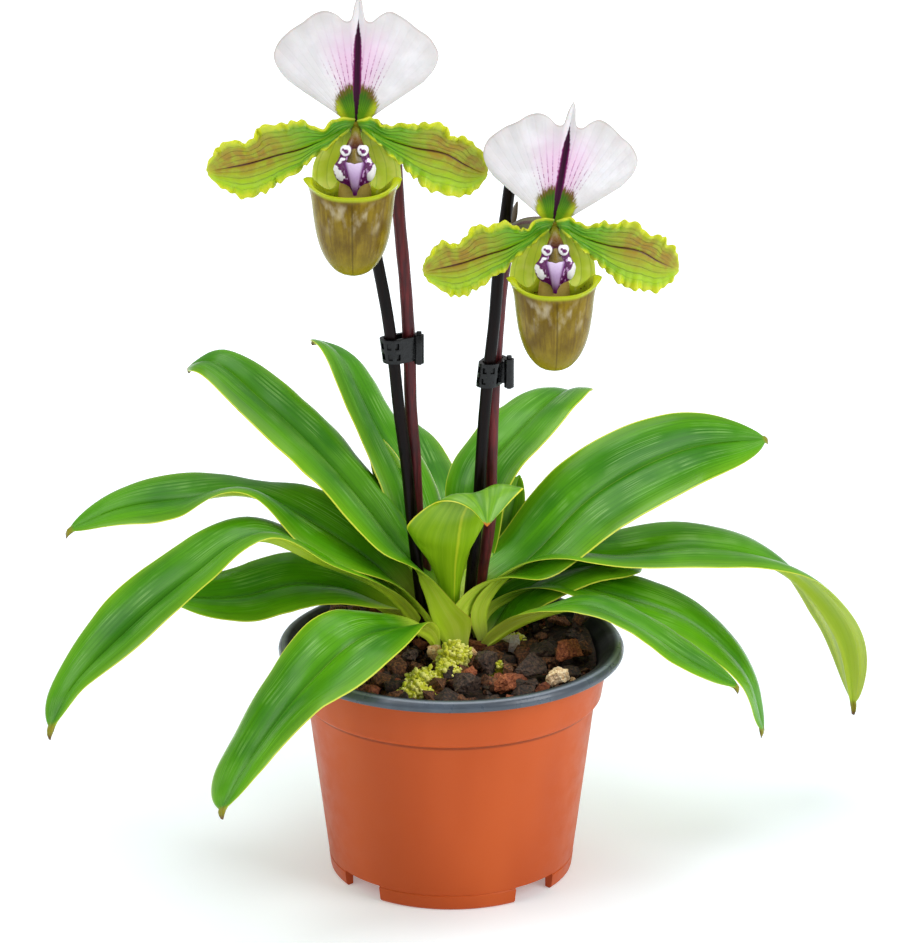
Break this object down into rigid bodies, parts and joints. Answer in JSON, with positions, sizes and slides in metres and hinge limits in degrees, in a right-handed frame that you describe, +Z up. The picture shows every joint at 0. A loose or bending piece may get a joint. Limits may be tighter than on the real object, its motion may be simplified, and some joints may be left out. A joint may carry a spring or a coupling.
{
  "type": "potted slipper orchid",
  "caption": "Slipper orchid in a round nursery pot, with strap leaves, staked stems and pouched flowers",
  "frame": {"origin": "on the ground, under the middle of the whole plant's box; the pot's axis stands 7.2 mm to -X and 22.3 mm to -Y of it", "axes": "+Z up along the pot's axis; +X to the right and -Y to the front, the side the flowers face"},
  "size_m": [0.2879, 0.2246, 0.3088],
  "materials": {
    "terracotta": "satin moulded plastic",
    "slate_plastic": "satin moulded plastic",
    "growing_mix": "rough bark and grit",
    "rhizome": "rough",
    "leaf": "glossy living leaf",
    "young_leaf": "glossy living leaf",
    "stem": "finely hairy",
    "stake": "satin",
    "clip": "satin",
    "sepal": "soft petal",
    "synsepal": "soft petal",
    "petal": "glossy petal",
    "pouch": "glossy petal",
    "column": "waxy",
    "ovary": "finely hairy",
    "bract": "finely hairy",
    "bark": "rough",
    "lava": "rough porous",
    "pale_stone": "rough",
    "moss": "soft tufted"
  },
  "bodies": {
    "root": {"pot_shell": "terracotta", "pot_liner": "slate_plastic", "stake_left": "stake", "stake_right": "stake", "growing_mix": "growing_mix", "rhizome": "rhizome", "stem_left": "stem", "stem_right": "stem", "clip_left": "clip", "clip_right": "clip", "leaf_upper_left": "leaf", "leaf_long_left": "leaf", "leaf_arched_left": "leaf", "leaf_low_left": "leaf", "leaf_front_left": "leaf", "leaf_tall_left": "leaf", "leaf_back_centre": "leaf", "leaf_tall_right": "leaf", "leaf_upper_right": "leaf", "leaf_long_right": "leaf", "leaf_middle_right": "leaf", "leaf_arched_right": "leaf", "leaf_front_right": "leaf", "leaf_young": "young_leaf", "leaf_inner_left": "leaf", "leaf_inner_right": "leaf", "dorsal_sepal_left": "sepal", "synsepal_left": "synsepal", "petal_outer_left": "petal", "petal_inner_left": "petal", "pouch_left": "pouch", "column_left": "column", "ovary_left": "ovary", "bract_left": "bract", "dorsal_sepal_right": "sepal", "synsepal_right": "synsepal", "petal_inner_right": "petal", "petal_outer_right": "petal", "pouch_right": "pouch", "column_right": "column", "ovary_right": "ovary", "bract_right": "bract", "stone_white": "pale_stone", "stone_cream": "pale_stone", "lava_red": "lava", "bark_large": "bark", "bark_front": "bark", "lava_orange": "lava", "bark_middle": "bark", "lava_rust": "lava", "bark_right": "bark", "bark_back": "lava", "bark_left": "bark", "bark_far_left": "bark", "chip_tan": "pale_stone", "moss_crown": "moss", "moss_front": "moss", "moss_left": "moss", "moss_left_low": "moss"}
  },
  "joints": []
}
